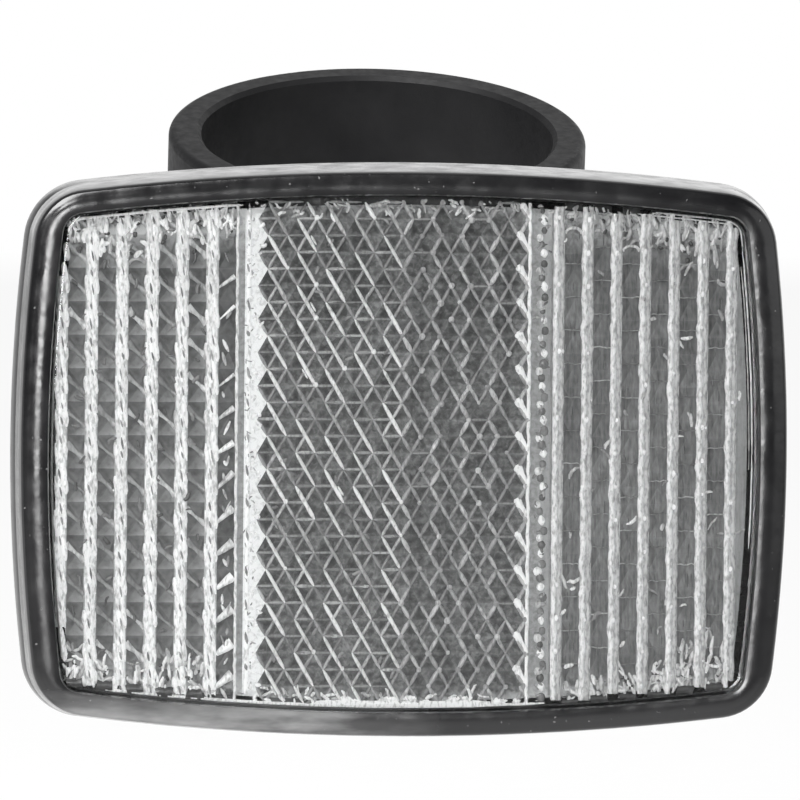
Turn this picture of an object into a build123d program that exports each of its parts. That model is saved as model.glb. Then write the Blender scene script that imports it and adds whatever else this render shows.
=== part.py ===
from build123d import *
import math
import os

# Bicycle reflector on a post clamp, in millimetres.
# Origin: centre of the clamp's bore. +Z is up in use, and the lens looks along -Y.
# The post leans back, so the top of the bore's axis tips towards the lens side.

# Clamp band
post_diameter = 32.5
post_lean_deg = 17.0
band_wall = 3.0
band_height = 12.0
band_edge_radius = 0.7

# Ears of the band, with the arm's lug between them
ear_thickness = 3.4
ear_reach = 5.75
ear_edge_radius = 0.5
nut_pocket_wall = 0.85
bore_chamfer = 0.4
lug_thickness = 6.0
lug_radius = 4.8

# Bracket arm
arm_drop = 14.5
arm_offset = 4.85
foot_radius = 8.0
foot_thickness = 4.0
foot_edge_radius = 0.6

# Housing: its front outline, how far the back is wider, and its walls
front_width = 68.8
front_height = 50.6
side_arc_radius = 165.0
top_arc_radius = 240.0
corner_radius = 5.0
flare = 0.7
housing_depth = 9.0
front_edge_radius = 0.6
back_edge_radius = 0.8
back_wall = 1.6
boss_radius = 7.0
boss_height = 2.0
boss_floor = 1.8
pocket_rim_wall = 1.4
pocket_rim_height = 1.6

# Lens: width of the housing's rim around it, its plate and its seat
rim_width_side = 2.6
rim_width_top = 2.2
lens_recess = 0.4
lens_thickness = 2.2
lens_corner_radius = 1.8
lens_edge_radius = 0.3
lens_clearance = 0.1
seat_width = 0.8
field_inset = 0.9

# Prisms on the back of the lens
cell_pitch = 3.0
left_columns = 5
right_columns = 4
field_left_edge = -13.1
left_rib_pitch = 2.7
left_rib_width = 1.1
right_rib_pitch = 2.6
right_rib_width = 1.0
least_rib_share = 0.6
land_width = 2.0
border_width = 0.5
strip_width = 1.77
rib_zigzag = 0.18
prism_root = 0.3

# Fasteners
stud_diameter = 5.0
stud_head_width = 8.0
stud_head_height = 3.5
stud_washer_radius = 5.0
stud_washer_thickness = 1.0
stud_spring_radius = 4.6
stud_spring_thickness = 1.2
stud_nut_width = 8.0
stud_nut_height = 4.0
stud_end = 1.6
bolt_diameter = 4.0
bolt_head_radius = 3.9
bolt_head_height = 2.9
bolt_washer_radius = 4.5
bolt_washer_thickness = 0.8
bolt_spring_radius = 3.8
bolt_spring_thickness = 0.9
bolt_nut_width = 7.0
bolt_nut_height = 3.2
nut_pocket_depth = 1.6
bolt_crown_radius = 1.6
bolt_end = 1.7
recess_length = 3.8
recess_width = 0.9
recess_depth = 1.5
thread_edge = 0.4

# Clearances
turn_clearance = 0.1
hole_clearance = 0.2
pocket_clearance = 0.1
side_gap = 0.1
thread_clearance = 0.03
web_clearance = 0.5

# Places that follow from the sizes above
bore_radius = post_diameter / 2
band_radius = bore_radius + band_wall
hinge_reach = band_radius + ear_reach
lean = math.radians(post_lean_deg)
hinge_y = -hinge_reach * math.cos(lean)
hinge_z = -hinge_reach * math.sin(lean)
stud_z = hinge_z - arm_drop
foot_front_y = hinge_y - arm_offset
face_y = foot_front_y - side_gap - boss_height - housing_depth
ear_inner_x = lug_thickness / 2 + side_gap
ear_outer_x = ear_inner_x + ear_thickness
boss_depth = housing_depth + boss_height
head_seat = boss_depth - boss_floor
foot_back = boss_depth + side_gap + foot_thickness
cell_side = cell_pitch / math.sqrt(3)
column_pitch = 1.5 * cell_side
field_right_edge = field_left_edge + (left_columns + right_columns) * column_pitch + cell_side / 2
ear_end_radius = (bolt_nut_width + 2 * pocket_clearance) / math.sqrt(3) + nut_pocket_wall
plate_back = lens_recess + lens_thickness
field_half_width = front_width / 2 - rim_width_side - field_inset
cell_step = cell_side / math.sqrt(2)
prism_depth = 2 * cell_step


def depth_plane(depth):
    """Plane parallel to the lens, this far behind the rim, looking at the viewer."""
    return Plane(origin=(0, face_y + depth, stud_z), x_dir=(1, 0, 0), z_dir=(0, -1, 0))


def slab(sketch, front, back):
    """Flat piece with the sketch's outline, between two depths behind the rim."""
    return extrude(depth_plane(front) * sketch, amount=front - back)


def barrel(half_width, half_height, grow, corner):
    """Rectangle with four bulging sides: the overlap of four large discs."""
    outline = None
    for sign in (-1, 1):
        side = Pos(sign * (half_width - side_arc_radius), 0) * Circle(side_arc_radius + grow)
        top = Pos(0, sign * (half_height - top_arc_radius)) * Circle(top_arc_radius + grow)
        outline = side & top if outline is None else outline & side & top
    corners = [v for v in outline.vertices() if abs(v.X) > half_width / 2 and abs(v.Y) > half_height / 2]
    return fillet(corners, corner)


def front_outline(grow):
    return barrel(front_width / 2, front_height / 2, grow, corner_radius + grow)


def lens_outline(grow):
    half_width = front_width / 2 - rim_width_side
    half_height = front_height / 2 - rim_width_top
    return barrel(half_width, half_height, grow, lens_corner_radius + max(grow, -1.0))


def hexagon(width_across_flats):
    return RegularPolygon(width_across_flats / 2, 6, major_radius=False)


def across(sketch, x_start, x_end):
    """Extrudes a side view, drawn as Y and Z, between two values of X."""
    plane = Plane(origin=(x_start, 0, 0), x_dir=(0, 1, 0), z_dir=(1, 0, 0))
    return extrude(plane * sketch, amount=x_end - x_start)


def leaning(shape):
    """Tips a shape drawn about an upright post to the lean of the real one."""
    return Rot(post_lean_deg, 0, 0) * shape


def on_hinge(sketch, x_start, x_end):
    """Piece on the clamp bolt's axis, between two values of X."""
    return leaning(across(Pos(-hinge_reach, 0) * sketch, x_start, x_end))


# Housing

def housing_shell():
    draft = math.degrees(math.atan2(flare, housing_depth))
    shell = extrude(depth_plane(0) * front_outline(0), amount=-housing_depth, taper=-draft)
    front_edges = shell.faces().sort_by(Axis.Y)[0].edges()
    shell = fillet(front_edges, front_edge_radius)
    back_edges = shell.faces().sort_by(Axis.Y)[-1].edges()
    return fillet(back_edges, back_edge_radius)


def housing():
    floor_depth = housing_depth - back_wall
    head_pocket = hexagon(stud_head_width + 2 * pocket_clearance)
    pocket_rim = Circle((stud_head_width + 2 * pocket_clearance) / math.sqrt(3) + pocket_rim_wall)
    body = housing_shell()
    body -= slab(lens_outline(lens_clearance), -1, plate_back)
    body -= slab(lens_outline(-seat_width), plate_back - 1, floor_depth)
    body += slab(Circle(boss_radius), floor_depth, boss_depth)
    body += slab(pocket_rim, floor_depth - pocket_rim_height, floor_depth)
    body -= slab(head_pocket, plate_back, head_seat)
    return body - slab(Circle(stud_diameter / 2 + hole_clearance), plate_back, boss_depth + 1)


# Lens

def lens_point(x, z, height):
    """Point at x, z on the lens, this far behind the back of its plate."""
    return Vector(x, face_y + plate_back + height, stud_z + z)


def flat_face(points):
    return Face(Wire.make_polygon(points, close=True))


def key(point):
    return tuple(round(value, 4) for value in point)


def facet_solid(cells):
    """Closed solid under a field of facets. A cell is its footprint and its facets, as lens points."""
    faces = []
    uses = {}
    for footprint, facets in cells:
        faces.append(flat_face([lens_point(x, z, -prism_root) for x, z in footprint]))
        for facet in facets:
            faces.append(flat_face([lens_point(*point) for point in facet]))
            for start, end in zip(facet, facet[1:] + facet[:1]):
                edge = frozenset((key(start), key(end)))
                uses[edge] = uses.get(edge, []) + [(start, end)]
    for edge in uses.values():
        if len(edge) == 1:
            start, end = edge[0]
            corners = [start, end, (*end[:2], -prism_root), (*start[:2], -prism_root)]
            faces.append(flat_face([lens_point(*corner) for corner in corners]))
    return Solid(Shell(faces))


def cube_corner(x, z, turn_deg):
    """Hexagonal cell whose three square facets meet at its middle, as the inside of a cube's corner."""
    ring = []
    for i in range(6):
        angle = math.radians(turn_deg + 60 * i)
        height = cell_step if i % 2 == 0 else 0.0
        ring.append((x + cell_side * math.cos(angle), z + cell_side * math.sin(angle), height))
    tip = (x, z, prism_depth)
    facets = [[tip, ring[i], ring[i + 1], ring[(i + 2) % 6]] for i in (0, 2, 4)]
    return [(px, pz) for px, pz, height in ring], facets


def rows(offset):
    """Heights of the rows that can reach into the lens, shifted by a share of the pitch."""
    count = math.ceil(front_height / 2 / cell_pitch) + 1
    return [(row + offset) * cell_pitch for row in range(-count, count)]


def centre_field(first_column, columns, turn_deg):
    """Columns of cube corners, every second one half a row higher."""
    cells = []
    for column in range(first_column, first_column + columns):
        x = field_left_edge + cell_side + column * column_pitch
        cells += [cube_corner(x, z, turn_deg) for z in rows(column % 2 / 2)]
    return facet_solid(cells)


def side_cell(x_low, x_high, z):
    """Tilted corner cell: its tip stands over the edge at x_high."""
    low, high = z - cell_pitch / 2, z + cell_pitch / 2
    a, b, c, d = [(x_low, low, 0.0), (x_low, high, 0.0), (x_high, high, 0.0), (x_high, low, 0.0)]
    tip = (x_high, z, prism_depth)
    facets = [[a, b, tip], [b, c, tip], [d, a, tip]]
    return [(x_low, low), (x_low, high), (x_high, high), (x_high, low)], facets


def side_column(x_low, x_high, offset):
    return facet_solid([side_cell(x_low, x_high, z) for z in rows(offset)])


def rib(x_left, x_right, left_zigzag, right_zigzag):
    """Upright rib of full prism depth, whose edges may run in a zigzag, one tooth to a row."""
    heights = [z + shift for z in rows(0) for shift in (0, cell_pitch / 2)]
    left = [(x_left + left_zigzag * (-1) ** i, z) for i, z in enumerate(heights)]
    right = [(x_right + right_zigzag * (-1) ** i, z) for i, z in enumerate(heights)]
    outline = make_face(Polyline(*left, *reversed(right), close=True))
    return slab(outline, plate_back - prism_root, plate_back + prism_depth)


def rib_count(start, pitch):
    """How many ribs, each with a cell, are on the lens beyond this distance from its middle."""
    return math.ceil((field_half_width - start) / pitch - least_rib_share)


def left_side():
    """A wide land beside the centre field, then zigzag ribs with cells between them."""
    inner = field_left_edge - land_width
    tooth = cell_side / 4
    pieces = [rib(inner, field_left_edge + tooth, 0, -tooth)]
    for i in range(rib_count(-inner, left_rib_pitch)):
        cell_right = inner - i * left_rib_pitch
        cell_left = cell_right - left_rib_pitch + left_rib_width
        pieces.append(side_column(cell_right, cell_left, 0))
        pieces.append(rib(cell_left - left_rib_width, cell_left, rib_zigzag, rib_zigzag))
    return pieces


def right_side():
    """A thin zigzag border, a strip of small cells, then straight ribs with cells between them."""
    tooth = cell_side / 4
    border = field_right_edge - tooth
    pieces = [rib(border, border + border_width, tooth, tooth)]
    inner = field_right_edge + border_width + strip_width
    pieces.append(side_column(inner, field_right_edge + border_width / 2, 0))
    for i in range(rib_count(inner, right_rib_pitch)):
        rib_left = inner + i * right_rib_pitch
        pieces.append(rib(rib_left, rib_left + right_rib_width, 0, 0))
        pieces.append(side_column(rib_left + right_rib_width, rib_left + right_rib_pitch, (i + 1) % 2 / 2))
    return pieces


def lens():
    plate = slab(lens_outline(0), lens_recess, plate_back)
    front_edges = plate.faces().sort_by(Axis.Y)[0].edges()
    plate = fillet(front_edges, lens_edge_radius)
    pieces = [centre_field(0, left_columns, 0), centre_field(left_columns, right_columns, 60)]
    pieces += left_side() + right_side()
    trim = slab(lens_outline(-field_inset), plate_back - 2 * prism_root, plate_back + 2 * prism_depth)
    solids = [solid for piece in pieces for solid in (piece & trim).solids()]
    return plate.fuse(*solids)


# Fasteners. Each is made by slab or by on_hinge, so both families share these functions.

def washer(place, radius, hole_radius, start, end):
    return place(Circle(radius) - Circle(hole_radius), start, end)


def spring_washer(place, radius, hole_radius, start, end):
    """Ring with a narrow cut, pressed flat as it is when tightened."""
    cut = Pos(0, radius) * Rectangle(2 * thread_edge, 2 * radius)
    return place(Circle(radius) - Circle(hole_radius) - cut, start, end)


def hex_block(place, width, start, end):
    """Hexagonal prism whose corners are turned off at both ends."""
    turned = place(Circle(width / math.sqrt(3)), start, end)
    turned = chamfer(turned.edges().filter_by(GeomType.CIRCLE), thread_edge)
    return place(hexagon(width), start, end) & turned


def rod(place, radius, start, end):
    """Shank from start to end, chamfered at its far end."""
    shank = place(Circle(radius), min(start, end), max(start, end))
    axis = Axis.X if place is on_hinge else Axis.Y
    circles = shank.edges().filter_by(GeomType.CIRCLE).sort_by(axis)
    return chamfer(circles[-1] if end > start else circles[0], thread_edge)


def stud_bolt():
    head = hex_block(slab, stud_head_width, head_seat - stud_head_height, head_seat)
    nut_back = foot_back + side_gap + stud_washer_thickness + stud_spring_thickness + stud_nut_height
    return head + rod(slab, stud_diameter / 2, head_seat - 1, nut_back + stud_end)


def stud_hardware():
    """Plain washer, spring washer and nut behind the foot, in the order they go on."""
    hole = stud_diameter / 2 + turn_clearance
    washer_back = foot_back + side_gap + stud_washer_thickness
    spring_back = washer_back + stud_spring_thickness
    nut = hex_block(slab, stud_nut_width, spring_back, spring_back + stud_nut_height)
    bored = slab(Circle(stud_diameter / 2 + thread_clearance), spring_back, spring_back + stud_nut_height)
    return {
        "stud_plain_washer": washer(slab, stud_washer_radius, hole, foot_back + side_gap, washer_back),
        "stud_spring_washer": spring_washer(slab, stud_spring_radius, hole, washer_back, spring_back),
        "stud_nut": nut - bored,
    }


def cross_recess(x_face):
    """Tapered cross cut into the pan head."""
    recess = None
    for turn in (0, 90):
        arm = Rot(0, 0, turn) * Rectangle(recess_length, recess_width)
        floor = Rot(0, 0, turn) * Rectangle(recess_length / 2, recess_width / 2)
        mouth = Plane(origin=(x_face, -hinge_reach, 0), x_dir=(0, 1, 0), z_dir=(1, 0, 0))
        blade = loft([mouth * arm, mouth.offset(-recess_depth) * floor])
        recess = blade if recess is None else recess + blade
    return leaning(recess)


def clamp_bolt():
    under_head = ear_outer_x + bolt_washer_thickness + bolt_spring_thickness
    head = on_hinge(Circle(bolt_head_radius), under_head, under_head + bolt_head_height)
    crown = head.edges().filter_by(GeomType.CIRCLE).sort_by(Axis.X)[-1]
    head = fillet(crown, bolt_crown_radius) - cross_recess(under_head + bolt_head_height)
    tip = nut_pocket_depth - ear_outer_x - bolt_nut_height - bolt_end
    return head + rod(on_hinge, bolt_diameter / 2, under_head + 1, tip)


def clamp_hardware():
    """Plain and spring washer under the bolt's head, and the nut held by the far ear."""
    hole = bolt_diameter / 2 + turn_clearance
    washer_end = ear_outer_x + bolt_washer_thickness
    spring_end = washer_end + bolt_spring_thickness
    nut_end = nut_pocket_depth - ear_outer_x
    nut = hex_block(on_hinge, bolt_nut_width, nut_end - bolt_nut_height, nut_end)
    bored = on_hinge(Circle(bolt_diameter / 2 + thread_clearance), nut_end - bolt_nut_height, nut_end)
    return {
        "clamp_plain_washer": washer(on_hinge, bolt_washer_radius, hole, ear_outer_x, washer_end),
        "clamp_spring_washer": spring_washer(on_hinge, bolt_spring_radius, hole, washer_end, spring_end),
        "clamp_nut": nut - bored,
    }


# Clamp band and bracket arm

def ear(side):
    """One ear of the band: a plate that narrows to a round end about the clamp bolt."""
    root = Pos(-(band_radius + bore_radius) / 2, 0) * Rectangle(band_wall - 2 * bore_chamfer, band_height)
    tip = Pos(-hinge_reach, 0) * Circle(ear_end_radius)
    profile = make_hull(root.edges() + tip.edges())
    start, end = sorted((side * ear_inner_x, side * ear_outer_x))
    plate = across(profile, start, end)
    outer_face = plate.faces().sort_by(Axis.X)[-1 if side > 0 else 0]
    return fillet(outer_face.edges(), ear_edge_radius)


def clamp_band():
    ring = extrude(Circle(band_radius), amount=band_height / 2, both=True)
    ring = fillet(ring.edges().filter_by(GeomType.CIRCLE), band_edge_radius)
    ring -= extrude(Circle(bore_radius), amount=band_height, both=True)
    bore_edges = [edge for edge in ring.edges().filter_by(GeomType.CIRCLE) if edge.radius < bore_radius + 0.01]
    band = chamfer(bore_edges, bore_chamfer) + ear(-1) + ear(1)
    slot = Pos(0, -hinge_reach / 2 - ear_end_radius) * Rectangle(2 * ear_inner_x, hinge_reach)
    band -= extrude(slot, amount=band_height, both=True)
    band = leaning(band)
    band -= on_hinge(Circle(bolt_diameter / 2 + hole_clearance), -ear_outer_x - 1, ear_outer_x + 1)
    nut_pocket = hexagon(bolt_nut_width + 2 * pocket_clearance)
    return band - on_hinge(nut_pocket, -ear_outer_x - 1, nut_pocket_depth - ear_outer_x)


def bracket_arm():
    foot = slab(Circle(foot_radius), boss_depth + side_gap, foot_back)
    foot = fillet(foot.edges().filter_by(GeomType.CIRCLE), foot_edge_radius)
    lug = Pos(hinge_y, hinge_z) * Circle(lug_radius)
    web_low = stud_washer_radius + web_clearance
    web_high = foot_radius - foot_edge_radius
    web_thickness = foot_thickness - foot_edge_radius / 2
    web_middle = Pos(foot_front_y + foot_thickness - web_thickness / 2, stud_z + (web_low + web_high) / 2)
    web_foot = web_middle * Rectangle(web_thickness, web_high - web_low)
    web = across(make_hull(lug.edges() + web_foot.edges()), -lug_thickness / 2, lug_thickness / 2)
    arm = foot + web
    arm -= slab(Circle(stud_diameter / 2 + turn_clearance), boss_depth, foot_back + 1)
    return arm - on_hinge(Circle(bolt_diameter / 2 + turn_clearance), -lug_thickness, lug_thickness)


os.makedirs("parts", exist_ok=True)
nodes = {
    "housing": housing(),
    "lens": lens(),
    "stud_bolt": stud_bolt(),
    "clamp_band": clamp_band(),
    "clamp_bolt": clamp_bolt(),
    "bracket_arm": bracket_arm(),
    **stud_hardware(),
    **clamp_hardware(),
}
for name, shape in nodes.items():
    export_step(shape, f"parts/{name}.step")
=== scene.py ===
import math
import random

import bmesh
import bpy
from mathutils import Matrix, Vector


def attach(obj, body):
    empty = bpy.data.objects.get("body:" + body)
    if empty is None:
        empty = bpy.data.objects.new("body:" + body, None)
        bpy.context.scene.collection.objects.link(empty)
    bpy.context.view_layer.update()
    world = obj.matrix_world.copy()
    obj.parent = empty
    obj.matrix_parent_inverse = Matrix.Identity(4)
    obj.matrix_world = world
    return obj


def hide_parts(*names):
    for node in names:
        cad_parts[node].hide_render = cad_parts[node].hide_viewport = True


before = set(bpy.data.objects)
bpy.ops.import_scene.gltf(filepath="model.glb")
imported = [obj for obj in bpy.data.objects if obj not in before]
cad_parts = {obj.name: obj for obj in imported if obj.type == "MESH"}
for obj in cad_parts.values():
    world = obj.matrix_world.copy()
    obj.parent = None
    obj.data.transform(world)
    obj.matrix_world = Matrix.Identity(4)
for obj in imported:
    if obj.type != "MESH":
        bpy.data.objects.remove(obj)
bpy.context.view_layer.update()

# Bicycle reflector on a post clamp. Sizes are in millimetres, as in the CAD source, until a mesh is made.
# +Z is up, and the lens looks along -Y. Points of the lens and housing are given as x, z and depth:
# x and z from the middle of the face, and depth behind the front of the rim.

MM = 0.001

# Clamp band and bracket
post_diameter = 32.5
post_lean_deg = 17.0
band_wall = 3.0
ear_reach = 5.75
ear_thickness = 3.4
lug_thickness = 6.0
arm_drop = 14.5
arm_offset = 4.85
foot_thickness = 4.0

# Housing
front_width = 68.8
front_height = 50.6
side_arc_radius = 165.0
top_arc_radius = 240.0
corner_radius = 5.0
flare = 0.7
housing_depth = 9.0
front_edge_radius = 0.6
back_edge_radius = 0.8
back_wall = 1.6
boss_radius = 7.0
boss_height = 2.0
boss_floor = 1.8
boss_bevel = 0.3
pocket_rim_wall = 1.4
pocket_rim_height = 1.6

# Lens
rim_width_side = 2.6
rim_width_top = 2.2
lens_recess = 0.4
lens_thickness = 2.2
lens_corner_radius = 1.8
lens_edge_radius = 0.3
lens_clearance = 0.1
seat_width = 0.8

# Prisms on the back of the lens
cell_pitch = 3.0
left_columns = 5
right_columns = 4
field_left = -13.1
left_rib_pitch = 2.7
left_rib_width = 1.15
right_rib_pitch = 2.6
right_rib_width = 1.0
land_width = 2.0
land_groove_width = 0.8
border_width = 0.5
strip_width = 1.77

# Fasteners
stud_diameter = 5.0
stud_pitch = 0.8
stud_head_width = 8.0
stud_head_height = 3.5
stud_washer_thickness = 1.0
stud_spring_thickness = 1.2
stud_nut_height = 4.0
stud_end = 1.6
bolt_diameter = 4.0
bolt_pitch = 0.7
bolt_head_radius = 3.9
bolt_head_height = 2.9
bolt_washer_thickness = 0.8
bolt_spring_thickness = 0.9
bolt_nut_height = 3.2
nut_pocket_depth = 1.6
bolt_crown_radius = 1.6
bolt_end = 1.7
recess_length = 3.8
recess_width = 0.9
recess_depth = 1.5
thread_edge = 0.4
screw_bevel = 0.15
side_gap = 0.1
hole_clearance = 0.2
pocket_clearance = 0.1

# Places that follow from the sizes above
lean = math.radians(post_lean_deg)
hinge_reach = post_diameter / 2 + band_wall + ear_reach
hinge_y = -hinge_reach * math.cos(lean)
hinge_z = -hinge_reach * math.sin(lean)
stud_z = hinge_z - arm_drop
face_y = hinge_y - arm_offset - side_gap - boss_height - housing_depth
plate_back = lens_recess + lens_thickness
boss_depth = housing_depth + boss_height
head_seat = boss_depth - boss_floor
foot_back = boss_depth + side_gap + foot_thickness
ear_outer_x = lug_thickness / 2 + side_gap + ear_thickness
cell_side = cell_pitch / math.sqrt(3)
column_pitch = 1.5 * cell_side
half_row = cell_pitch / 2
tooth = cell_side / 2
field_right = field_left + (left_columns + right_columns) * column_pitch + cell_side / 2
land_left = field_left - land_width
strip_right = field_right + border_width + strip_width
left_ribs = [land_left - left_rib_pitch * (i + 1) + left_rib_width / 2 for i in reversed(range(6))]
right_ribs = [strip_right + right_rib_pitch * i + right_rib_width / 2 for i in range(7)]

# How finely the outline's arcs are divided, in a quarter of it
side_steps = 14
corner_steps = 12
top_steps = 18

rng = random.Random(11)
vary = rng.uniform


def chance(share):
    return rng.random() < share


# Meshes

def add_object(name, data):
    thing = bpy.data.objects.new(name, data)
    bpy.context.scene.collection.objects.link(thing)
    return thing


def make_piece(name, skin, body, material, sharp_deg=35):
    """Piece from points and faces, with edges sharp where they turn by more than an angle."""
    points, faces = skin
    mesh = bpy.data.meshes.new(name)
    mesh.from_pydata([tuple(value * MM for value in point) for point in points], [], faces)
    return finish_piece(name, mesh, body, material, sharp_deg)


def finish_piece(name, mesh, body, material, sharp_deg):
    """Piece whose faces look outward, which rides on a body."""
    shape = bmesh.new()
    shape.from_mesh(mesh)
    bmesh.ops.recalc_face_normals(shape, faces=shape.faces)
    shape.to_mesh(mesh)
    shape.free()
    mesh.shade_smooth()
    mesh.set_sharp_from_angle(angle=math.radians(sharp_deg))
    mesh.materials.append(material)
    piece = add_object(name, mesh)
    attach(piece, body)
    return piece


def add_layer(mesh, name, values, domain="POINT"):
    """Gives the mesh's points or face corners a value each, which its material reads."""
    mesh.attributes.new(name, "FLOAT", domain).data.foreach_set("value", values)


def lofted(rings, closed=False):
    """Points and faces of a skin over rings of equal length, with flat ends where it isn't closed."""
    count = len(rings[0])
    points = [point for ring in rings for point in ring]
    faces = []
    for number in range(len(rings) - (0 if closed else 1)):
        low = number * count
        high = (number + 1) % len(rings) * count
        for i in range(count):
            j = (i + 1) % count
            faces.append((low + i, low + j, high + j, high + i))
    if not closed:
        faces.append(tuple(reversed(range(count))))
        faces.append(tuple(range(len(points) - count, len(points))))
    return points, faces


def part_way(first, second, share):
    return tuple(a + (b - a) * share for a, b in zip(first, second))


def circles_meet(first, first_radius, second, second_radius):
    """The upper right point that two circles share."""
    step = (second[0] - first[0], second[1] - first[1])
    gap = math.hypot(*step)
    along = (first_radius ** 2 - second_radius ** 2 + gap ** 2) / (2 * gap)
    off = math.sqrt(first_radius ** 2 - along ** 2)
    middle = (first[0] + step[0] * along / gap, first[1] + step[1] * along / gap)
    across = (-step[1] * off / gap, step[0] * off / gap)
    meets = [(middle[0] + sign * across[0], middle[1] + sign * across[1]) for sign in (-1, 1)]
    return max(meets, key=sum)


def barrel_ring(half_width, half_height, grow, corner):
    """Outline with four bulging sides and rounded corners, as x and z."""
    side_x = half_width - side_arc_radius
    top_z = half_height - top_arc_radius
    side_radius = side_arc_radius + grow
    top_radius = top_arc_radius + grow
    corner_x, corner_z = circles_meet((side_x, 0), side_radius - corner, (0, top_z), top_radius - corner)
    side_end = math.atan2(corner_z, corner_x - side_x)
    top_start = math.atan2(corner_z - top_z, corner_x)
    arcs = [
        (side_x, 0, side_radius, 0, side_end, side_steps),
        (corner_x, corner_z, corner, side_end, top_start, corner_steps),
        (0, top_z, top_radius, top_start, math.pi / 2, top_steps),
    ]
    quarter = []
    for x, z, radius, start, end, steps in arcs:
        for i in range(steps):
            angle = start + (end - start) * i / steps
            quarter.append((x + radius * math.cos(angle), z + radius * math.sin(angle)))
    quarter.append((0, top_z + top_radius))
    ring = quarter[:-1] + [(-x, z) for x, z in reversed(quarter[1:])]
    return ring + [(-x, -z) for x, z in ring]


def front_outline(grow):
    return barrel_ring(front_width / 2, front_height / 2, grow, corner_radius + grow)


def lens_outline(grow):
    half_width = front_width / 2 - rim_width_side
    half_height = front_height / 2 - rim_width_top
    return barrel_ring(half_width, half_height, grow, lens_corner_radius + max(grow, -1.0))


# Rings that share these directions can be joined point by point
outline_directions = [math.atan2(z, x) for x, z in front_outline(0)]
recess_corner = math.degrees(math.atan2(recess_width, recess_length))
quarter_angles = [*range(0, 90, 9), recess_corner, 90 - recess_corner]
screw_directions = sorted(math.radians(turn + angle) for turn in range(0, 360, 90)
                          for angle in quarter_angles)


def polar(radius_at, directions=screw_directions):
    """Ring whose distance from its middle is a function of the direction."""
    return [(radius_at(angle) * math.cos(angle), radius_at(angle) * math.sin(angle)) for angle in directions]


def circle(radius, directions=screw_directions):
    return polar(lambda angle: radius, directions)


def hexagon(width_across_flats, directions=screw_directions, most=math.inf):
    """Hexagon with corners at left and right, which may be turned off at a radius."""
    def radius_at(angle):
        off = (angle + math.pi / 2) % (math.pi / 3)
        return min(most, width_across_flats / 2 / math.cos(min(off, math.pi / 3 - off)))
    return polar(radius_at, directions)


def at_depth(ring, depth):
    return [(x, face_y + depth, stud_z + z) for x, z in ring]


def between(first, second, share):
    return [part_way(p, q, share) for p, q in zip(first, second)]


# Materials

def plug(tree, socket, value):
    """Sets an input of a shader node, or links it to an output."""
    if isinstance(value, bpy.types.NodeSocket):
        tree.links.new(value, socket)
    else:
        socket.default_value = value


def add_node(tree, kind, **inputs):
    """New shader node. Its inputs are named with underscores for spaces."""
    node = tree.nodes.new("ShaderNode" + kind)
    for name, value in inputs.items():
        plug(tree, node.inputs[name.replace("_", " ")], value)
    return node


def fade(tree, place, axis, start, end):
    """Level that changes along an axis between two places, each given with the level there."""
    along = add_node(tree, "SeparateXYZ", Vector=place).outputs[axis]
    return add_node(tree, "MapRange", Value=along, From_Min=start[0], To_Min=start[1],
                    From_Max=end[0], To_Max=end[1]).outputs["Result"]


def show_mix(tree, share, first, second, output="Material Output"):
    """Shows two shader nodes, mixed by the second one's share."""
    both = add_node(tree, "MixShader", Fac=share)
    plug(tree, both.inputs[1], first.outputs[0])
    plug(tree, both.inputs[2], second.outputs[0])
    plug(tree, tree.nodes[output].inputs["Surface"], both.outputs[0])


class Finish:
    """A node material on a Principled shader, with short ways to add noise and mixes."""

    def __init__(self, name, roughness=0.5, metallic=0.0):
        self.material = bpy.data.materials.new(name)
        self.material.use_nodes = True
        self.tree = self.material.node_tree
        self.shader = self.tree.nodes["Principled BSDF"]
        self.set("Roughness", roughness)
        self.set("Metallic", metallic)
        self.place = self.add("TexCoord").outputs["Object"]

    def add(self, kind, **inputs):
        return add_node(self.tree, kind, **inputs)

    def set(self, name, value):
        plug(self.tree, self.shader.inputs[name], value)

    def noise(self, size_mm, detail=3.0, stretch=(1, 1, 1), distortion=0.0, stops=None):
        """Noise of this size, as a level or through a ramp."""
        stretched = self.add("Mapping", Vector=self.place, Scale=stretch).outputs["Vector"]
        level = self.add("TexNoise", Vector=stretched, Scale=1 / (size_mm * MM), Detail=detail,
                         Distortion=distortion).outputs["Fac"]
        return self.ramp(level, stops) if stops else level

    def ramp(self, value, stops):
        """Maps a value to a colour by stops, each a position and a colour or a grey."""
        ramp = self.add("ValToRGB", Fac=value)
        while len(ramp.color_ramp.elements) < len(stops):
            ramp.color_ramp.elements.new(0.5)
        for element, (position, colour) in zip(ramp.color_ramp.elements, stops):
            element.position = position
            colour = colour if isinstance(colour, tuple) else (colour,) * 3
            element.color = (*colour, 1)
        return ramp.outputs["Color"]

    def mix(self, share, first, second, kind="MIX"):
        """Mix of two colours, each an output or a grey."""
        node = self.add("Mix")
        node.data_type = "RGBA"
        node.blend_type = kind
        plug(self.tree, node.inputs[0], share)
        for number, value in ((6, first), (7, second)):
            is_output = isinstance(value, bpy.types.NodeSocket)
            plug(self.tree, node.inputs[number], value if is_output else (value, value, value, 1))
        return node.outputs[2]

    def times(self, first, second):
        return self.mix(1.0, first, second, kind="MULTIPLY")

    def attribute(self, name):
        node = self.add("Attribute")
        node.attribute_name = name
        return node.outputs["Fac"]

    def fade(self, axis, start, end):
        """0 to 1 between two places along an axis, in metres."""
        return fade(self.tree, self.place, axis, (start, 0), (end, 1))

    def bump(self, height, strength, distance_mm):
        bumpy = self.add("Bump", Height=height, Strength=strength, Distance=distance_mm * MM)
        self.set("Normal", bumpy.outputs["Normal"])


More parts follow.
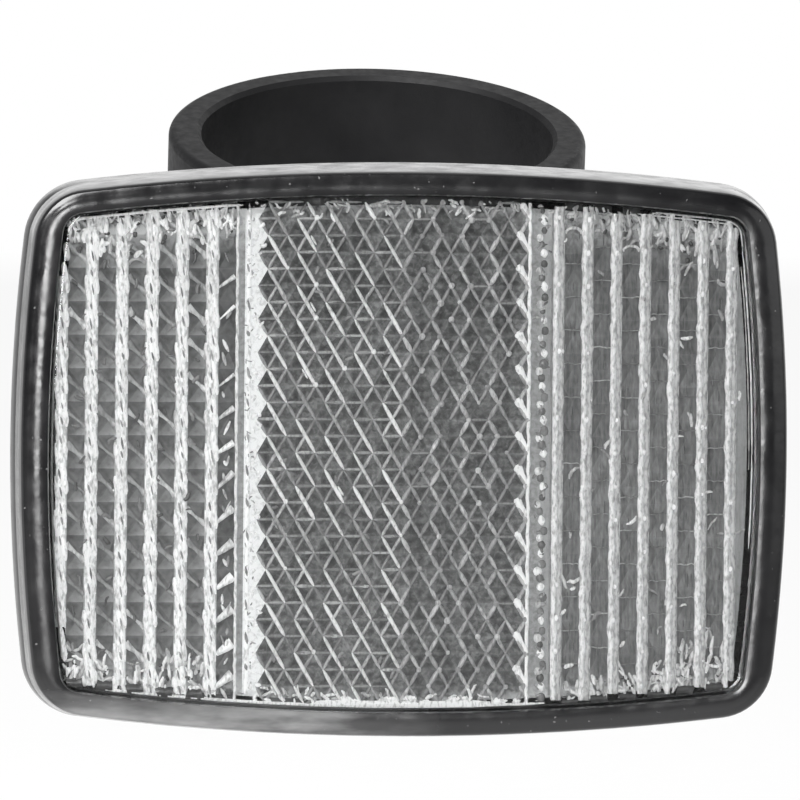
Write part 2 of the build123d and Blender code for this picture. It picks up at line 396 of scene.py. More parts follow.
def black_plastic():
    """Semi-gloss moulded black, a little cloudy, with dust specks, and a painted reflection: a grey streak
    low on the left of the rim.
    """
    finish = Finish("black_plastic")
    cloud = finish.noise(6, detail=4)
    colour = finish.ramp(cloud, [(0.3, (0.004, 0.004, 0.0045)), (0.7, (0.011, 0.011, 0.0115))])
    specks = finish.noise(0.45, detail=1, stops=[(0.75, 0.0), (0.8, 1.0)])
    # Painted reflection: a pale grey streak on the lower left of the rim, fading out to the right and upwards
    painted_reflection = finish.noise(2.5, detail=4, stretch=(0.25, 1, 1), stops=[(0.35, 0.2), (0.6, 1.0)])
    for axis, bare, covered in (("X", 0.004, -0.01), ("Z", -0.043, -0.046)):
        painted_reflection = finish.times(painted_reflection, finish.fade(axis, bare, covered))
    finish.set("Base Color", finish.mix(painted_reflection, finish.mix(specks, colour, 0.12), 0.25))
    finish.set("Roughness", finish.noise(2.2, detail=5, stops=[(0.3, 0.1), (0.7, 0.26)]))
    finish.bump(finish.noise(2.5, detail=5), 0.45, 0.1)
    return finish.material


def bracket_plastic():
    """Matte moulded black with a fine grain."""
    finish = Finish("bracket_plastic")
    cloud = finish.noise(5, detail=4)
    colour = finish.ramp(cloud, [(0.3, (0.005, 0.005, 0.0055)), (0.7, (0.009, 0.009, 0.0095))])
    finish.set("Base Color", colour)
    finish.set("Roughness", finish.noise(0.8, detail=4, stops=[(0.3, 0.45), (0.7, 0.6)]))
    finish.bump(finish.noise(0.25, detail=3), 0.25, 0.05)
    finish.set("Specular IOR Level", 0.22)
    return finish.material


def zinc_steel():
    """Bright zinc plate with fine turning marks and slight clouding."""
    finish = Finish("zinc_steel", metallic=1.0)
    cloud = finish.noise(2.5, detail=3)
    finish.set("Base Color", finish.ramp(cloud, [(0.3, (0.5, 0.52, 0.55)), (0.7, (0.72, 0.72, 0.7))]))
    marks = finish.noise(0.6, detail=4, stretch=(1, 9, 1))
    finish.set("Roughness", finish.ramp(marks, [(0.3, 0.2), (0.7, 0.42)]))
    finish.bump(marks, 0.2, 0.03)
    return finish.material


def clear_acrylic():
    """The polished front of the lens: see-through, with gloss that grows towards its edge-on view."""
    finish = Finish("clear_acrylic")
    finish.tree.nodes.remove(finish.shader)
    clear = finish.add("BsdfTransparent", Color=(0.985, 0.99, 0.99, 1))
    dulled = finish.noise(2, detail=5, stops=[(0.35, 0.01), (0.75, 0.04)])
    gloss = finish.add("BsdfGlossy", Roughness=dulled)
    fresnel = finish.add("Fresnel", IOR=1.49)
    show_mix(finish.tree, fresnel.outputs["Fac"], clear, gloss)
    return finish.material


def prism_facets_painted_shading():
    """Prism faces on the lens's back, with the light and shade that clear prisms show painted into their
    colour, from painted dark cells to the painted white land. The mesh holds their painted shade and zone: 0
    at the left ribs, 0.5 in the centre field and 1 at the right ribs, where the dark ones are streaky."""
    finish = Finish("prism_facets_painted_shading", roughness=0.3)
    fine = finish.noise(0.45, detail=3, distortion=0.5)
    haze = finish.noise(7, detail=2, stops=[(0.35, 0.07), (0.7, 0.12)])
    calm = finish.noise(0.9, detail=3, stops=[(0.32, 0.35), (0.68, 1.2)])
    blotchy = finish.ramp(fine, [(0.34, 0.3), (0.5, 0.65), (0.66, 1.7)])
    streaky = finish.noise(0.5, detail=4, stretch=(2, 1, 0.3), stops=[(0.3, 0.8), (0.7, 2.2)])
    zone = finish.attribute("zone")
    centre = finish.ramp(zone, [(0.2, 0.0), (0.3, 1.0)])
    right = finish.ramp(zone, [(0.7, 0.0), (0.8, 1.0)])
    mottle = finish.mix(right, finish.mix(centre, calm, blotchy), streaky)
    dark = finish.times(mottle, haze)
    white = finish.ramp(fine, [(0.3, 0.66), (0.5, 0.92)])
    # Painted light: paler cloudy patches, strongest at the top and bottom ends of the lens
    cloud = finish.noise(0.9, detail=4, distortion=0.8, stops=[(0.4, 0.0), (0.55, 1.0)])
    painted_light_share = finish.times(finish.attribute("painted_light_share"), cloud)
    # Painted light and shade: each facet runs from the painted dark to the painted white by the mesh's shade
    tone = finish.mix(finish.attribute("shade"), dark, white)
    finish.set("Base Color", finish.mix(painted_light_share, tone, 0.65))
    finish.bump(fine, 0.3, 0.05)
    return finish.material


def prism_edges_painted_light_and_shade():
    """Painted light and shade on the ridges: the bright edges and ribs that clear prisms show, and their dark
    marks. The shade of each is in the mesh, and varies along it.
    """
    finish = Finish("prism_edges_painted_light_and_shade", roughness=0.25)
    streak = finish.noise(0.35, detail=3, stretch=(1.6, 1, 0.6), stops=[(0.34, 0.68), (0.54, 1.0)])
    level = finish.times(finish.attribute("shade"), streak)
    finish.set("Base Color", finish.ramp(level, [(0.0, 0.02), (0.5, 0.4), (0.9, 0.97)]))
    return finish.material


# Housing: how far its rim is crowned, where across it the crest is, and how far its skin is inside the solid
rim_crown = 0.17
rim_crest = 0.35
within_solid = 0.02
# The turn of the rim's outer edge, from its slope at the rim to nearly along the wall
edge_from_deg = 20
edge_to_deg = 84
edge_from_cos = 0.94
# Groove in the wall, as depth and how far it is sunk, and where along x it ends at top and bottom
groove = [(4.5, 0.0), (4.7, 0.1), (5.2, 0.1), (5.4, 0.0)]
groove_end_x = 29.0
groove_run_out = 4.0


def grooved(grow, sunk):
    """Outline of the wall, sunk where it turns round the sides and level along the top and bottom."""
    ring = []
    for level, deep in zip(front_outline(grow), front_outline(grow - sunk)):
        share = min(1.0, max(0.0, (abs(level[0]) - groove_end_x) / groove_run_out))
        ring.append(part_way(level, deep, share))
    return ring


def housing_rings():
    """Rings of the skin: from the lens pocket over the rim, the walls and the back, and in again."""
    rim_outer = front_outline(-front_edge_radius)
    rim_inner = lens_outline(0.22)
    rings = [(lens_outline(grow), depth) for grow, depth in
             [(lens_clearance, plate_back), (lens_clearance, 0.55), (0.11, 0.42), (0.15, 0.28)]]
    for i in range(9):
        share = i / 8
        sunk = rim_crown * ((share - rim_crest) / (1 - rim_crest)) ** 2
        rings.append((between(rim_inner, rim_outer, share), sunk))
    for i in range(1, 6):
        turn = math.radians(edge_from_deg + (edge_to_deg - edge_from_deg) * i / 5)
        grow = front_edge_radius * (math.sin(turn) - math.sin(math.radians(edge_to_deg)))
        sunk = rim_crown + front_edge_radius * (edge_from_cos - math.cos(turn))
        rings.append((front_outline(grow), sunk))
    slope = (flare - within_solid) / housing_depth
    wall_end = housing_depth - back_edge_radius
    for depth, sunk in [(1.4, 0.0), *groove, (wall_end - 0.3, 0.0)]:
        rings.append((grooved(slope * depth, sunk), depth))
    for i in range(6):
        turn = math.radians(90 * i / 5)
        grow = slope * wall_end - back_edge_radius * (1 - math.cos(turn))
        rings.append((front_outline(grow), wall_end + back_edge_radius * math.sin(turn)))
    floor = housing_depth - back_wall
    hole = stud_diameter / 2 + hole_clearance
    pocket = stud_head_width + 2 * pocket_clearance
    pocket_rim = pocket / math.sqrt(3) + pocket_rim_wall
    pocket_top = floor - pocket_rim_height
    rings += [(circle(radius, outline_directions), depth) for radius, depth in [
        (boss_radius + 0.5, housing_depth), (boss_radius + 0.15, housing_depth + 0.15),
        (boss_radius, housing_depth + 0.5), (boss_radius, boss_depth - boss_bevel),
        (boss_radius - boss_bevel, boss_depth), (hole + boss_bevel, boss_depth),
        (hole, boss_depth - boss_bevel), (hole, head_seat)]]
    hollow, rim = hexagon(pocket, outline_directions), circle(pocket_rim, outline_directions)
    seat = lens_outline(-seat_width)
    rings += [(hollow, head_seat), (hollow, pocket_top), (rim, pocket_top), (rim, floor),
              (seat, floor), (seat, plate_back)]
    return [at_depth(ring, depth) for ring, depth in rings]


def make_housing(material):
    skin = lofted(housing_rings(), closed=True)
    piece = make_piece("housing_shell", skin, "reflector", material, sharp_deg=30)
    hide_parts("housing")


# Screws: the slope of a thread's flanks, and how far it takes to begin as a share of its pitch
thread_slope = 1.053
thread_begin = 0.7
rings_per_turn = 8


def thread_rings(radius, pitch, start, end):
    """Threaded length as rings and how far each is along the axis, with a bevelled tip."""
    steps = math.ceil(rings_per_turn * (end - start) / pitch)
    rings = []
    for i in range(steps + 1):
        along = start + (end - start) * i / steps
        most = min(radius, radius - thread_edge + (end - along))

        def radius_at(angle, along=along, most=most):
            phase = (along / pitch - angle / (2 * math.pi)) % 1
            begun = min(1.0, (along - start) / (thread_begin * pitch))
            return min(most, radius - thread_slope * pitch * begun * min(phase, 1 - phase))
        rings.append((polar(radius_at), along))
    return rings


def make_stud_bolt(material):
    """Hexagon head, plain shank, then the thread that the nut is on."""
    head_front = head_seat - stud_head_height
    end = foot_back + side_gap + stud_washer_thickness + stud_spring_thickness + stud_nut_height + stud_end
    corner = stud_head_width / math.sqrt(3)
    turned = hexagon(stud_head_width, most=corner - thread_edge)
    rings = [
        (circle(0.4 * stud_head_width), head_front),
        (turned, head_front),
        (hexagon(stud_head_width), head_front + 0.9 * thread_edge),
        (hexagon(stud_head_width), head_seat - 0.9 * thread_edge),
        (turned, head_seat),
        (circle(stud_diameter / 2 + 0.2), head_seat),
        (circle(stud_diameter / 2), head_seat + screw_bevel),
    ]
    rings += thread_rings(stud_diameter / 2, stud_pitch, boss_depth, end)
    skin = lofted([at_depth(ring, depth) for ring, depth in rings])
    piece = make_piece("stud_screw", skin, "reflector", material, sharp_deg=25)
    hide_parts("stud_bolt")


def cross(length, width):
    """Outline of the driver's cross, which has an arm along each axis."""
    def radius_at(angle):
        off = angle % (math.pi / 2)
        off = min(off, math.pi / 2 - off)
        if math.tan(off) * length <= width:
            return length / 2 / math.cos(off)
        return width / 2 / math.sin(off)
    return polar(radius_at)


def on_hinge(ring, x):
    """Ring round the clamp bolt's axis. Its two values run outward from the post and up, along the lean."""
    reach = (-math.cos(lean), -math.sin(lean))
    rise = (-math.sin(lean), math.cos(lean))
    return [(x, hinge_y + a * reach[0] + b * rise[0], hinge_z + a * reach[1] + b * rise[1]) for a, b in ring]


def make_clamp_bolt(material):
    """Pan head with a cross recess, shank, and a thread at the nut's end."""
    under_head = ear_outer_x + bolt_washer_thickness + bolt_spring_thickness
    top = under_head + bolt_head_height
    tip = nut_pocket_depth - ear_outer_x - bolt_nut_height - bolt_end
    rings = [
        (cross(0.5 * recess_length, 0.5 * recess_width), top - recess_depth),
        (cross(recess_length, recess_width), top),
        (circle(bolt_head_radius - bolt_crown_radius), top),
    ]
    for i in range(1, 9):
        turn = math.radians(90 * i / 8)
        radius = bolt_head_radius - bolt_crown_radius * (1 - math.sin(turn))
        rings.append((circle(radius), top - bolt_crown_radius * (1 - math.cos(turn))))
    rings += [
        (circle(bolt_head_radius), under_head + screw_bevel),
        (circle(bolt_head_radius - screw_bevel), under_head),
        (circle(bolt_diameter / 2 + screw_bevel), under_head),
        (circle(bolt_diameter / 2), under_head - screw_bevel),
    ]
    thread = thread_rings(bolt_diameter / 2, bolt_pitch, lug_thickness / 2, -tip)
    rings += [(ring, -along) for ring, along in thread]
    skin = lofted([on_hinge(ring, x) for ring, x in rings])
    piece = make_piece("clamp_screw", skin, "clamp", material, sharp_deg=25)
    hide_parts("clamp_bolt")


# Lens: its clear front, then its prisms

def make_lens_front(material):
    rings = [at_depth(lens_outline(0), plate_back - 0.05)]
    for i in range(6):
        turn = math.radians(90 * i / 5)
        sunk = lens_edge_radius * (1 - math.sin(turn))
        rings.append(at_depth(lens_outline(lens_edge_radius * (math.cos(turn) - 1)), lens_recess + sunk))
    rings.append(at_depth(lens_outline(-lens_edge_radius - 0.1), lens_recess))
    piece = make_piece("lens_front", lofted(rings), "reflector", material)
    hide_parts("lens")


# The clear prisms' look, their bright lines and dark cells, is painted light and shade in the colour of the
# facets and of raised ridges
# How far inside the lens's outline the prisms end, how deep they are, and where their block ends behind
field_inset = 0.15
facet_depth = 0.45
prism_block = 2.3
half_rows = math.ceil(front_height / 2 / half_row) + 1
# How far in from the lens's ends its paler patches of painted light reach: beside the ribs above and below,
# and along the centre field
painted_light_above = 4.5
painted_light_below = 2.6
painted_light_at_field = 1.6
painted_light_field_x = 13


def end_height(x, inset=field_inset):
    """How high the field's upper edge is above the middle of the lens."""
    top_z = front_height / 2 - rim_width_top - top_arc_radius
    return top_z + math.sqrt((top_arc_radius - inset) ** 2 - x ** 2)


def inside(x, z, margin=0.0):
    """True if a place on the lens is within the field by this margin."""
    half_width = front_width / 2 - rim_width_side - field_inset - margin
    within_sides = math.hypot(abs(x) - half_width + side_arc_radius, z) < side_arc_radius
    return within_sides and abs(z) < end_height(x, field_inset + margin)


def clip(polygon, outline):
    """The part of a polygon that is within a convex outline, both as points that begin with x and z."""
    for start, end in zip(outline, outline[1:] + outline[:1]):
        edge = (end[0] - start[0], end[1] - start[1])
        sides = [edge[0] * (p[1] - start[1]) - edge[1] * (p[0] - start[0]) for p in polygon]
        if min(sides, default=0) >= 0:
            continue
        kept = []
        for i, point in enumerate(polygon):
            before, side_before = polygon[i - 1], sides[i - 1]
            if (sides[i] >= 0) != (side_before >= 0):
                share = side_before / (side_before - sides[i])
                kept.append(part_way(before, point, share))
            if sides[i] >= 0:
                kept.append(point)
        polygon = kept
        if len(polygon) < 3:
            return []
    return polygon


def rows(step, offset=0.0):
    """Heights, step apart, that cover the lens."""
    count = math.ceil(front_height / 2 / step) + 1
    return [(row + offset) * step for row in range(-count, count + 1)]


def cup(ring, tip, dark, pale):
    """Facets from a flat ring to a deeper tip, as x, z, depth and painted shade. Each is painted darkest at
    its middle.
    """
    facets = []
    for first, second in zip(ring, ring[1:] + ring[:1]):
        edge = pale * vary(0.6, 1.2)
        corners = [(*first, 0.0, edge), (*second, 0.0, edge), (*tip, edge)]
        middle = tuple(sum(values) / 3 for values in zip(*corners))[:3] + (dark * vary(0.5, 1.5),)
        facets += [[corner, after, middle] for corner, after in zip(corners, corners[1:] + corners[:1])]
    return facets


def cell_middles(columns):
    """Middles of the hexagonal cells in these columns."""
    for column in columns:
        for z in rows(cell_pitch, column % 2 / 2):
            yield field_left + cell_side + column * column_pitch, z


def cell_corner(x, z, angle_deg):
    angle = math.radians(angle_deg)
    return (x + cell_side * math.cos(angle), z + cell_side * math.sin(angle), 0.0)


def hexagon_cell(x, z):
    ring = [cell_corner(x, z, 60 * i)[:2] for i in range(6)]
    return cup(ring, (x, z, facet_depth), 0.0, 0.1)


def side_cell(x_low, x_high, z, tip_share, shade, gain=0.0):
    """Cell between two ribs. Its tip is this share of the way from one side to the other, and its painted
    shade may grow lighter towards its lower right."""
    low, high = z - half_row, z + half_row
    ring = [(x_low, low), (x_high, low), (x_high, z), (x_high, high), (x_low, high), (x_low, z)]
    facets = cup(ring, (x_low + (x_high - x_low) * tip_share, z, facet_depth), shade, shade + 0.05)

    def gained(x, height, depth, level):
        share = ((x - x_low) / (x_high - x_low) + (high - height) / cell_pitch) / 2
        return (x, height, depth, level + gain * share ** 2)
    return [[gained(*corner) for corner in facet] for facet in facets]


def straight(x):
    return lambda row: x


def flat_band(left, right, shade):
    """Level strip between two lines, each a place x or a function from the number of a half row to x."""
    left, right = [line if callable(line) else straight(line) for line in (left, right)]
    facets = []
    for row in range(-half_rows, half_rows):
        low, high = row * half_row, (row + 1) * half_row
        corners = [(left(row), low), (right(row), low), (right(row + 1), high), (left(row + 1), high)]
        facets.append([(x, z, 0.0, shade) for x, z in corners])
    return facets


def land_edge(row):
    """Right edge of the land: the left corners of the first column of cells."""
    return field_left + tooth * (row % 2)


def border_edge(row):
    """Left edge of the border: the right corners of the last column of cells."""
    return field_right - tooth * (row % 2)


def rib_facets(ribs, width, cell_offset, tip_share, rib_shade, cell_shade, cell_gain=0.0):
    """Level ribs from left to right, with a column of cells in each gap between two of them."""
    facets = []
    for number, x in enumerate(ribs):
        if number:
            x_low = ribs[number - 1] + width / 2
            for z in rows(cell_pitch, cell_offset * number % 1):
                facets += side_cell(x_low, x - width / 2, z, tip_share, cell_shade, cell_gain)
        facets += flat_band(x - width / 2, x + width / 2, rib_shade)
    return facets


def field_facets():
    """All facets of the lens's back."""
    outer = front_width / 2
    facets = flat_band(-outer, left_ribs[0] - left_rib_width / 2, shade=0.1)
    facets += rib_facets(left_ribs, left_rib_width, cell_offset=0, tip_share=0.75, rib_shade=0.4,
                         cell_shade=0.0, cell_gain=0.3)
    last_cell_left = left_ribs[-1] + left_rib_width / 2
    for z in rows(cell_pitch):
        facets += side_cell(last_cell_left, land_left, z, tip_share=0.6, shade=0.05)
    facets += flat_band(land_left, land_left + land_groove_width, shade=0.25)
    facets += flat_band(land_left + land_groove_width, land_edge, shade=1.0)
    for x, z in cell_middles(range(left_columns + right_columns)):
        facets += hexagon_cell(x, z)
    facets += flat_band(border_edge, field_right, shade=0.04)
    facets += flat_band(field_right, strip_right, shade=0.25)
    facets += rib_facets(right_ribs, right_rib_width, cell_offset=0.5, tip_share=0.5, rib_shade=0.55,
                         cell_shade=0.02)
    facets += flat_band(right_ribs[-1] + right_rib_width / 2, outer, shade=0.15)
    return facets


def painted_light_at(x, z):
    """1 at the top and bottom of the lens, where its paler patches of painted light are, to 0 further in."""
    reach = painted_light_above if z > 0 else painted_light_below
    if abs(x) <= painted_light_field_x:
        reach = painted_light_at_field
    return max(0.0, 1 - (end_height(x) - abs(z)) / reach)


def zone_at(x, z):
    """0 at the left ribs, 0.5 in the centre field, and 1 at the right ribs."""
    return 0.5 if land_left < x < strip_right else float(x > 0)


def make_prisms(material):
    points, faces = [], []
    for corners in field_facets():
        kept = clip(corners, lens_outline(-field_inset))
        if len(kept) < 3:
            continue
        faces.append(tuple(range(len(points), len(points) + len(kept))))
        points += kept
    mesh = bpy.data.meshes.new("lens_prisms")
    placed = [(x * MM, (face_y + plate_back + depth) * MM, (stud_z + z) * MM) for x, z, depth, _ in points]
    mesh.from_pydata(placed, [], faces)
    add_layer(mesh, "shade", [shade for _, _, _, shade in points], "CORNER")
    shape = bmesh.new()
    shape.from_mesh(mesh)
    bmesh.ops.remove_doubles(shape, verts=shape.verts, dist=1e-7)
    rim = [edge for edge in shape.edges if len(edge.link_faces) == 1]
    grown = bmesh.ops.extrude_edge_only(shape, edges=rim)["geom"]
    for vertex in (item for item in grown if isinstance(item, bmesh.types.BMVert)):
        vertex.co.y = (face_y + plate_back + prism_block) * MM
    bmesh.ops.holes_fill(shape, edges=[edge for edge in shape.edges if len(edge.link_faces) == 1], sides=0)
    shape.to_mesh(mesh)
    shape.free()
    places = [(vertex.co.x / MM, vertex.co.z / MM - stud_z) for vertex in mesh.vertices]
    add_layer(mesh, "painted_light_share", [painted_light_at(x, z) for x, z in places])
    add_layer(mesh, "zone", [zone_at(x, z) for x, z in places])
    finish_piece("lens_prisms", mesh, "reflector", material, 8)


# How a ridge narrows along its length, from a share of it to a share of its width

def blunt(share):
    return 0.45 if share in (0, 1) else 1.0


def even(share):
    return 1.0


def spindle(share):
    return max(0.15, math.sin(math.pi * share)) ** 0.6


def tapered(share):
    return min(1.0, 0.4 + 4 * share, 0.4 + 4 * (1 - share))


def wedge(share):
    return 1.0 - 0.6 * share


def drop(share):
    return min(1.0, 0.5 + 5 * share) * wedge(share)


def waisted(share):
    return 0.4 + 0.6 * abs(2 * share - 1) ** 1.5


# Ridges: thin raised lines on the prisms that carry painted highlights and painted shade, gathered into one
# mesh with a shade at each point
ridge_points = []
ridge_faces = []
ridge_shades = []
ridge_arch = [(-1.0, 0.0), (-0.7, 0.7), (0.0, 1.0), (0.7, 0.7), (1.0, 0.0)]
ridge_root = 0.05
# How many small painted glints are on the right ribs, along the ends of the centre field, and at its foot
right_marks = 55
end_marks = 110
foot_marks = 14


def ridge(path, width, height, shade, narrowing=blunt, margin=0.1):
    """A rounded ridge along a path of x, z and depth, where it is within the field by a margin."""
    path = [point for point in path if inside(point[0], point[1], margin)]
    if len(path) < 2:
        return
    rings = []
    last = len(path) - 1
    for i, (x, z, depth) in enumerate(path):
        ahead, behind = path[min(i + 1, last)], path[max(i - 1, 0)]
        run = math.hypot(ahead[0] - behind[0], ahead[1] - behind[1])
        across = ((ahead[1] - behind[1]) / run, -(ahead[0] - behind[0]) / run)
        narrow = narrowing(i / last)
        half = width / 2 * narrow * vary(0.9, 1.1)
        ridge_shades.extend([shade * vary(0.92, 1.08)] * len(ridge_arch))
        rings.append([(x + across[0] * half * off, z + across[1] * half * off,
                       depth + ridge_root - height * rise * narrow) for off, rise in ridge_arch])
    points, faces = lofted(rings)
    start = len(ridge_points)
    ridge_points.extend(points)
    ridge_faces.extend(tuple(start + corner for corner in face) for face in faces)


def stroke(start, end, width, height, shade, steps=5, narrowing=blunt):
    ridge([part_way(start, end, i / steps) for i in range(steps + 1)], width, height, shade, narrowing)


def dot(x, z, depth, radius, shade, height=0.2):
    path = [(x, z + radius * share, depth) for share in (-1, -0.7, 0, 0.7, 1)]
    ridge(path, 2 * radius, height, shade, spindle)


def level_bar(x_low, x_high, z, thickness, shade, depth=0.0):
    """A flat patch from side to side of a cell, with a slightly uneven course."""
    path = [(x_low + (x_high - x_low) * i / 5, z + vary(-0.08, 0.08), depth) for i in range(6)]
    ridge(path, thickness, 0.12, shade, even)


def left_field_lines():
    """Painted highlights: long bright strokes down to the right across each cell, and fainter outlines."""
    for x, z in cell_middles(range(left_columns)):
        strong = vary(0.88, 1.05) if chance(0.85) else vary(0.5, 0.7)
        start, end = cell_corner(x, z, 120), cell_corner(x, z, 300)
        stroke(start, end, vary(0.3, 0.4), 0.3, strong, steps=8, narrowing=tapered)
        if chance(0.15):
            dot(end[0], end[1] + 0.1, -0.05, vary(0.16, 0.24), strong)
        if chance(0.15):
            aside = x + rng.choice((-0.35, 0.35))
            stroke((aside, z, 0.0), (aside + 0.5, z - 0.85, 0.0), 0.2, 0.22, strong)
        middle = (x, z, 0.1)
        stroke(cell_corner(x, z, 180), middle, 0.26, 0.15, vary(0.25, 0.6))
        stroke(cell_corner(x, z, 240), middle, 0.3, 0.18, vary(0.3, 0.66))
        stroke(middle, cell_corner(x, z, 60), 0.3, 0.18, vary(0.3, 0.66))
        for angle in (60, 180, 240):
            stroke(cell_corner(x, z, angle), cell_corner(x, z, angle + 60), 0.3, 0.15,
                   vary(0.3, 0.62), steps=3)
        if chance(0.35):
            wisp(x + vary(-1, 1), z + vary(-1, 1), 0.8, 0.3, vary(0.25, 0.5))


def right_field_lines():
    """Painted highlights: a fine triangular net with a bright dot where its lines meet."""
    for x, z in cell_middles(range(left_columns, left_columns + right_columns)):
        middle = (x, z, 0.1)
        for angle in (60, 120, 240, 300):
            falling = angle in (120, 300)
            shade = vary(0.4, 0.62) if falling else vary(0.3, 0.48)
            if chance(0.75):
                stroke(middle, cell_corner(x, z, angle), 0.34, 0.2, shade, steps=3)
        for angle in (0, 120, 180, 300):
            stroke(cell_corner(x, z, angle), cell_corner(x, z, angle + 60),
                   vary(0.34, 0.44), 0.2, vary(0.45, 0.66), steps=3)
        if chance(0.2):
            stroke(cell_corner(x, z, 120), cell_corner(x, z, 60), 0.28, 0.2, 0.35, steps=3)
        for spot in (middle, cell_corner(x, z, 0), cell_corner(x, z, 180)):
            if chance(0.7):
                dot(spot[0] + vary(-0.1, 0.1), spot[1] + vary(-0.1, 0.1), -0.05,
                    vary(0.18, 0.3), vary(0.42, 0.7))


def braided_rib(x):
    """Painted highlights: two columns of bright strands that lean a little to the right, with short painted
    dark slits between them.
    """
    lean = 0.22
    ridge([(x, z, 0.0) for z in rows(0.75)], 0.95 * left_rib_width, 0.12, 0.85, even)
    for side in (-1, 1):
        middle = x + side * 0.25 * left_rib_width
        for z in rows(cell_pitch, 0.25 * side):
            reach = vary(0.5, 0.55) * cell_pitch
            stroke((middle - lean, z + reach, 0.0), (middle + lean, z - reach, 0.0),
                   vary(0.4, 0.56) * left_rib_width, 0.24, vary(0.8, 1.05),
                   steps=10, narrowing=rng.choice((tapered, spindle)))
    for z in rows(half_row):
        if chance(0.85):
            middle = x + vary(-0.14, 0.14)
            top = z + vary(-0.2, 0.2)
            foot = top - vary(0.6, 1.1)
            stroke((middle - 0.09, top, -0.16), (middle + 0.09, foot, -0.16),
                   vary(0.14, 0.22), 0.08, vary(0.2, 0.5), narrowing=spindle)


def straight_rib(x):
    """Painted highlights: a smooth rib with a brighter strand on its left, and uneven bright patches."""
    turn = rng.random()
    for side, share, shade in ((-0.25, 0.55, 0.82), (0.27, 0.5, 0.6)):
        path = [(x + side * right_rib_width + 0.06 * math.sin(2 * math.pi * (z / cell_pitch + turn))
                 + vary(-0.04, 0.04), z, 0.0) for z in rows(0.6)]
        ridge(path, right_rib_width * share, 0.25, shade, even)
    for z in rows(cell_pitch, rng.random()):
        if chance(0.6):
            dot(x + vary(-0.25, 0.25), z, -0.1, vary(0.15, 0.3), 1.0, height=0.15)


def wisp(x, z, length, width, shade, upright=False):
    """Short crooked line."""
    heading = math.pi / 2 + vary(-0.4, 0.4) if upright else vary(0, 2 * math.pi)
    path = [(x, z, -0.05)]
    turning = 0.3 if upright else 0.7
    for _ in range(4):
        heading += vary(-turning, turning)
        x, z = x + length / 4 * math.cos(heading), z + length / 4 * math.sin(heading)
        path.append((x, z, -0.05))
    ridge(path, width, 0.15, shade)


def left_cell_marks(x_low, x_high):
    """Painted light: a soft lighter line down to the right between a cell and the next."""
    for z in rows(cell_pitch, vary(-0.1, 0.1)):
        level = rng.choice((0.28, 0.35, 0.42, 0.5, 0.66))
        start, end = (x_low - 0.1, z + 0.25 * cell_pitch, 0.0), (x_high + 0.1, z - 0.25 * cell_pitch, 0.0)
        bend = vary(-0.12, 0.12)
        path = [part_way(start, end, i / 6) for i in range(7)]
        path = [(x + bend * math.sin(math.pi * i / 6), z, depth) for i, (x, z, depth) in enumerate(path)]
        ridge(path, vary(0.5, 0.9), 0.15, level, waisted)
        wisp(vary(x_low + 0.2, x_high - 0.2), z + vary(-1.2, 1.2),
             vary(0.6, 1.2), vary(0.2, 0.4), vary(0.12, 0.35))


def right_cell_marks(x_low, x_high, offset):
    """Painted light: a thin level line at each cell's edge, and upright streaks."""
    for z in rows(cell_pitch, offset):
        level_bar(x_low, x_high, z, vary(0.08, 0.16), vary(0.3, 0.65))
        for _ in range(2):
            x = vary(x_low + 0.15, x_high - 0.15)
            top = z + vary(0.4, 2.2)
            stroke((x, top, 0.0), (x, top - vary(0.6, 1.4), 0.0), 0.12, 0.12,
                   vary(0.2, 0.36), steps=3)


def last_cell_marks(x_low, x_high):
    """Painted highlights: small white marks like a V or a leaning stroke in the column beside the land."""
    middle = (x_low + x_high) / 2
    for z in rows(cell_pitch, 0.1):
        low_down = min(1.0, max(0.0, (8 - z) / 20))
        if chance(0.5 + low_down):
            start = (x_high - 0.1, z + vary(0.5, 0.9), 0.0)
            end = (x_low, z - vary(0.3, 0.6), 0.0)
            width = vary(0.3, 0.5) + 0.6 * low_down
            stroke(start, end, width, 0.2, vary(0.7, 1.0), narrowing=wedge)
    for z in rows(half_row, 0.3):
        height = z + vary(-0.3, 0.3)
        tip = (middle + vary(-0.25, 0.25), height - vary(0.1, 0.5), -0.05)
        for side in (-1, 1):
            if chance(0.35):
                end = (middle + side * vary(0.2, 0.5), height + vary(0.3, 0.9), 0.0)
                stroke(tip, end, vary(0.18, 0.34), 0.2, vary(0.35, 1.0), steps=3)


def land_lines():
    """Painted light and shade: the thin bright rib beside the land, the land's swelling white surface, and
    its small grey drops.
    """
    path = [(land_left + 0.12 + vary(-0.04, 0.04), z, 0.0) for z in rows(0.6)]
    ridge(path, 0.3, 0.22, 0.85, even)
    path = [(land_left + 1.15, z, 0.0) for z in rows(0.75)]
    ridge(path, 0.5, 0.14, 1.0, even)
    for z in rows(cell_pitch, 0.45):
        x = land_left + 1.12 + vary(-0.05, 0.05)
        top = z + vary(0.3, 0.7)
        stroke((x - 0.08, top, -0.12), (x + 0.08, top - vary(0.5, 1.1), -0.12),
               vary(0.18, 0.32), 0.06, vary(0.25, 0.5), narrowing=spindle)
        for _ in range(4):
            wisp(field_left - vary(-0.1, 0.5), z + vary(-1.5, 1.5),
                 vary(0.3, 0.8), vary(0.2, 0.4), 1.0)
            wisp(land_left + vary(0.9, 1.7), z + vary(-1.5, 1.5),
                 vary(0.2, 0.5), 0.12, vary(0.4, 0.7))


